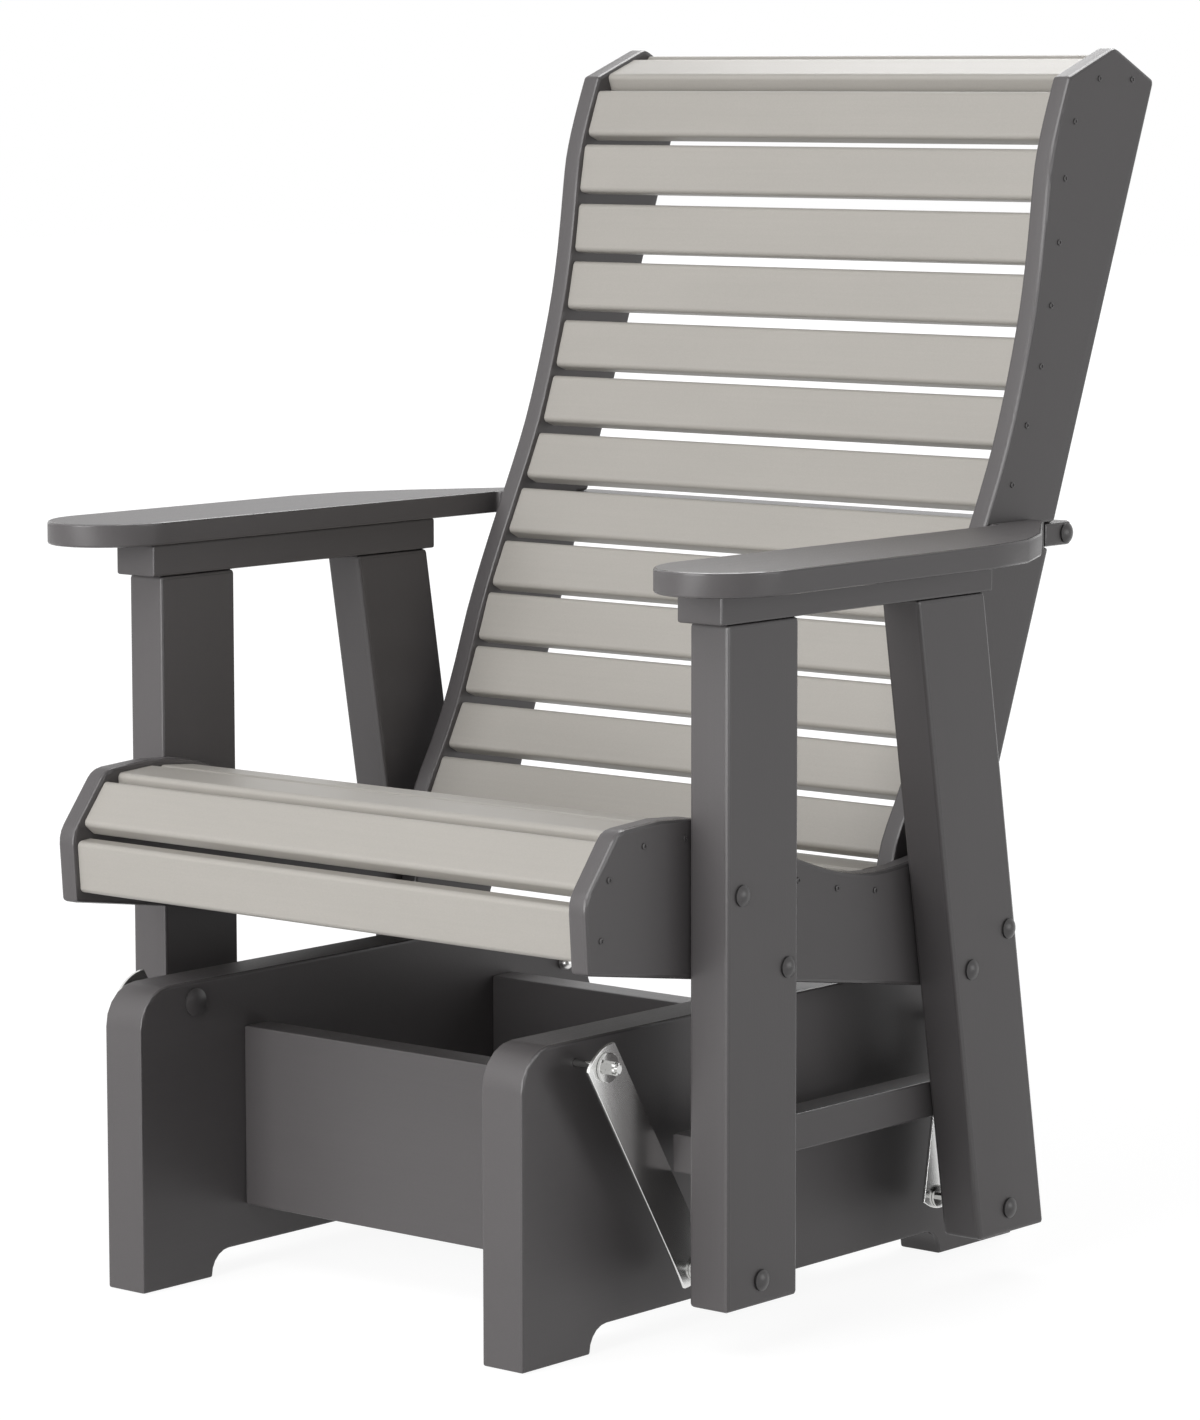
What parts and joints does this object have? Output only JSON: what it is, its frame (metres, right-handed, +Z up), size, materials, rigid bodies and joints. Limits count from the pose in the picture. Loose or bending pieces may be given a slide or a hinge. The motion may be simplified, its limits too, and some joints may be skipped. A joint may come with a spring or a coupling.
{
  "type": "glider chair",
  "caption": "Slatted lumber glider armchair with a tall leaning back; the seat frame swings fore and aft on flat steel links hung from a footed base.",
  "frame": {"origin": "on the floor, at the centre of the chair's width and depth", "axes": "+X to the right from a viewer's side in front of the chair, +Y to the rear, +Z up; the seat faces -Y"},
  "size_m": [0.7734, 0.7853, 1.021],
  "materials": {
    "dark_lumber": "satin, fine pebble",
    "pale_lumber": "satin, fine pebble",
    "steel": "polished stainless"
  },
  "bodies": {
    "base": {"base_front_board": "dark_lumber", "base_panel_left": "dark_lumber", "base_panel_right": "dark_lumber", "base_rear_board": "dark_lumber", "front_upper_bolt_left": "steel", "front_upper_bolt_right": "steel", "front_upper_nut_left": "steel", "front_upper_nut_right": "steel", "rear_upper_bolt_left": "steel", "rear_upper_bolt_right": "steel", "rear_upper_nut_left": "steel", "rear_upper_nut_right": "steel"},
    "front_right_link": {"front_link_right": "steel"},
    "front_left_link": {"front_link_left": "steel"},
    "rear_right_link": {"rear_link_right": "steel"},
    "rear_left_link": {"rear_link_left": "steel"},
    "seat": {"arm_left": "dark_lumber", "arm_rail_left": "dark_lumber", "arm_rail_right": "dark_lumber", "arm_right": "dark_lumber", "back_bar": "dark_lumber", "back_board_left": "dark_lumber", "back_board_right": "dark_lumber", "back_slat_01": "pale_lumber", "back_slat_02": "pale_lumber", "back_slat_03": "pale_lumber", "back_slat_04": "pale_lumber", "back_slat_05": "pale_lumber", "back_slat_06": "pale_lumber", "back_slat_07": "pale_lumber", "back_slat_08": "pale_lumber", "back_slat_09": "pale_lumber", "back_slat_10": "pale_lumber", "back_slat_11": "pale_lumber", "back_slat_12": "pale_lumber", "back_slat_13": "pale_lumber", "cap_slat_front": "pale_lumber", "cap_slat_rear": "pale_lumber", "front_leg_left": "dark_lumber", "front_leg_right": "dark_lumber", "front_lower_bolt_left": "steel", "front_lower_bolt_right": "steel", "rear_leg_left": "dark_lumber", "rear_leg_right": "dark_lumber", "rear_lower_bolt_left": "steel", "rear_lower_bolt_right": "steel", "seat_board_left": "dark_lumber", "seat_board_right": "dark_lumber", "seat_slat_1": "pale_lumber", "seat_slat_2": "pale_lumber", "seat_slat_3": "pale_lumber", "seat_slat_4": "pale_lumber", "seat_slat_5": "pale_lumber", "seat_slat_6": "pale_lumber", "seat_slat_7": "pale_lumber", "seat_slat_8": "pale_lumber", "seat_slat_9": "pale_lumber", "stretcher_left": "dark_lumber", "stretcher_right": "dark_lumber"}
  },
  "joints": [
    {"name": "front_right_link_swing", "type": "hinge", "parent": "base", "child": "front_right_link", "pos_m": [0.258, -0.32972, 0.2364], "axis": [1, 0, 0], "range_deg": [-10, 10]},
    {"name": "seat_pivot", "type": "hinge", "parent": "front_right_link", "child": "seat", "pos_m": [0.258, -0.21982, 0.0583], "axis": [1, 0, 0], "range_deg": [-14.2, 14.2]},
    {"name": "front_left_link_swing", "type": "hinge", "parent": "base", "child": "front_left_link", "pos_m": [-0.258, -0.32972, 0.2364], "axis": [1, 0, 0], "range_deg": [-10, 10]},
    {"name": "rear_right_link_swing", "type": "hinge", "parent": "base", "child": "rear_right_link", "pos_m": [0.251, 0.13868, 0.2077], "axis": [1, 0, 0], "range_deg": [-12.2, 12.2]},
    {"name": "rear_left_link_swing", "type": "hinge", "parent": "base", "child": "rear_left_link", "pos_m": [-0.251, 0.13868, 0.2077], "axis": [1, 0, 0], "range_deg": [-12.2, 12.2]}
  ],
  "couplings": [
    {"joint": "seat_pivot", "follows": "front_right_link_swing", "ratio": -1.418},
    {"joint": "front_left_link_swing", "follows": "front_right_link_swing", "ratio": 1},
    {"joint": "rear_right_link_swing", "follows": "front_right_link_swing", "ratio": 1.2137},
    {"joint": "rear_left_link_swing", "follows": "front_right_link_swing", "ratio": 1.2137}
  ]
}
